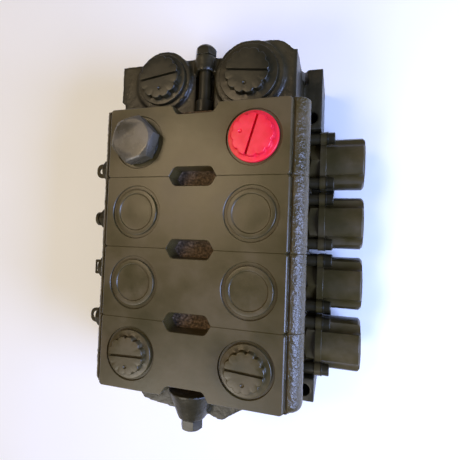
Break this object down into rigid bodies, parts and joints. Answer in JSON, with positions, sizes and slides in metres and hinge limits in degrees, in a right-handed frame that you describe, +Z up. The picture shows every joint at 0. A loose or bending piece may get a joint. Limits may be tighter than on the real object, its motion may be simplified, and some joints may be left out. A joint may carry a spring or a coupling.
{
  "type": "sectional hydraulic directional valve",
  "caption": "Sectional mobile hydraulic spool valve: stacked work sections between an inlet section and an end plate, plugged ports on top, spring caps on one side, spool ends on the other.",
  "frame": {"origin": "centre of the four foot holes, on the plane that the feet stand on", "axes": "+X along the spools towards the spring caps, +Y along the stack towards the inlet section, +Z up out of the port face"},
  "size_m": [0.243, 0.2578, 0.124],
  "materials": {
    "cast_paint": "satin olive-brown paint over machined and as-cast iron",
    "steel_paint": "satin olive-brown paint over turned and forged steel",
    "spool_steel": "ground and hard-chromed steel",
    "dark_steel": "oily phosphated steel",
    "spring_steel": "drawn spring wire and turned steel seats",
    "seal_rubber": "matt nitrile rubber",
    "red_plastic": "moulded polyethylene shipping plug",
    "painted_plastic": "moulded shipping plugs and discs painted over with the body"
  },
  "bodies": {
    "valve_block": {"inlet_section": "cast_paint", "section_body_1": "cast_paint", "section_body_2": "cast_paint", "section_body_3": "cast_paint", "section_body_4": "cast_paint", "end_plate": "cast_paint", "tie_rods": "steel_paint", "tie_rod_nuts": "steel_paint", "tie_rod_washers": "steel_paint", "section_seals": "seal_rubber", "guide_bonnet_1": "steel_paint", "guide_bonnet_2": "steel_paint", "guide_bonnet_3": "steel_paint", "guide_bonnet_4": "steel_paint", "bonnet_screws": "steel_paint", "rod_wipers": "seal_rubber", "hex_collar_1": "steel_paint", "hex_collar_2": "steel_paint", "hex_collar_3": "steel_paint", "hex_collar_4": "steel_paint", "spring_cap_1": "cast_paint", "spring_cap_2": "cast_paint", "spring_cap_3": "cast_paint", "spring_cap_4": "cast_paint", "cap_screws": "steel_paint", "cap_washers": "steel_paint", "screw_sleeves": "steel_paint", "centring_spring_1": "spring_steel", "centring_spring_2": "spring_steel", "centring_spring_3": "spring_steel", "centring_spring_4": "spring_steel", "inner_spring_seats": "spring_steel", "load_check_springs": "spring_steel", "hex_plug": "steel_paint", "hex_plug_washer": "steel_paint", "red_plug": "red_plastic", "disc_caps": "painted_plastic", "port_plugs": "painted_plastic", "pressure_plug": "painted_plastic", "tank_plug": "painted_plastic", "relief_cartridge": "steel_paint", "relief_spring": "spring_steel", "relief_adjuster": "steel_paint"},
    "spool_assembly_1": {"spool_1": "spool_steel", "spool_end_1": "dark_steel", "outer_spring_seat_1": "spring_steel"},
    "spool_assembly_2": {"spool_2": "spool_steel", "spool_end_2": "dark_steel", "outer_spring_seat_2": "spring_steel"},
    "spool_assembly_3": {"spool_3": "spool_steel", "spool_end_3": "dark_steel", "outer_spring_seat_3": "spring_steel"},
    "spool_assembly_4": {"spool_4": "spool_steel", "spool_end_4": "dark_steel", "outer_spring_seat_4": "spring_steel"},
    "check_poppet_1": {"load_check_1": "spool_steel"},
    "check_poppet_2": {"load_check_2": "spool_steel"},
    "check_poppet_3": {"load_check_3": "spool_steel"},
    "check_poppet_4": {"load_check_4": "spool_steel"},
    "relief_cone": {"relief_poppet": "spool_steel"}
  },
  "joints": [
    {"name": "spool_1_slide", "type": "slide", "parent": "valve_block", "child": "spool_assembly_1", "axis": [1, 0, 0], "range_m": [-0.007, 0.007], "stiffness_N_per_m": 9000, "deforming": ["centring_spring_1"]},
    {"name": "spool_2_slide", "type": "slide", "parent": "valve_block", "child": "spool_assembly_2", "axis": [1, 0, 0], "range_m": [-0.007, 0.007], "stiffness_N_per_m": 9000, "deforming": ["centring_spring_2"]},
    {"name": "spool_3_slide", "type": "slide", "parent": "valve_block", "child": "spool_assembly_3", "axis": [1, 0, 0], "range_m": [-0.007, 0.007], "stiffness_N_per_m": 9000, "deforming": ["centring_spring_3"]},
    {"name": "spool_4_slide", "type": "slide", "parent": "valve_block", "child": "spool_assembly_4", "axis": [1, 0, 0], "range_m": [-0.007, 0.007], "stiffness_N_per_m": 9000, "deforming": ["centring_spring_4"]},
    {"name": "load_check_1_lift", "type": "slide", "parent": "valve_block", "child": "check_poppet_1", "axis": [0, 1, 0], "range_m": [0, 0.0035], "stiffness_N_per_m": 600, "springref_m": -0.005, "deforming": ["load_check_springs"]},
    {"name": "load_check_2_lift", "type": "slide", "parent": "valve_block", "child": "check_poppet_2", "axis": [0, 1, 0], "range_m": [0, 0.0035], "stiffness_N_per_m": 600, "springref_m": -0.005, "deforming": ["load_check_springs"]},
    {"name": "load_check_3_lift", "type": "slide", "parent": "valve_block", "child": "check_poppet_3", "axis": [0, 1, 0], "range_m": [0, 0.0035], "stiffness_N_per_m": 600, "springref_m": -0.005, "deforming": ["load_check_springs"]},
    {"name": "load_check_4_lift", "type": "slide", "parent": "valve_block", "child": "check_poppet_4", "axis": [0, 1, 0], "range_m": [0, 0.0035], "stiffness_N_per_m": 600, "springref_m": -0.005, "deforming": ["load_check_springs"]},
    {"name": "relief_lift", "type": "slide", "parent": "valve_block", "child": "relief_cone", "axis": [-1, 0, 0], "range_m": [0, 0.002], "stiffness_N_per_m": 4000, "springref_m": -0.003, "deforming": ["relief_spring"]}
  ]
}
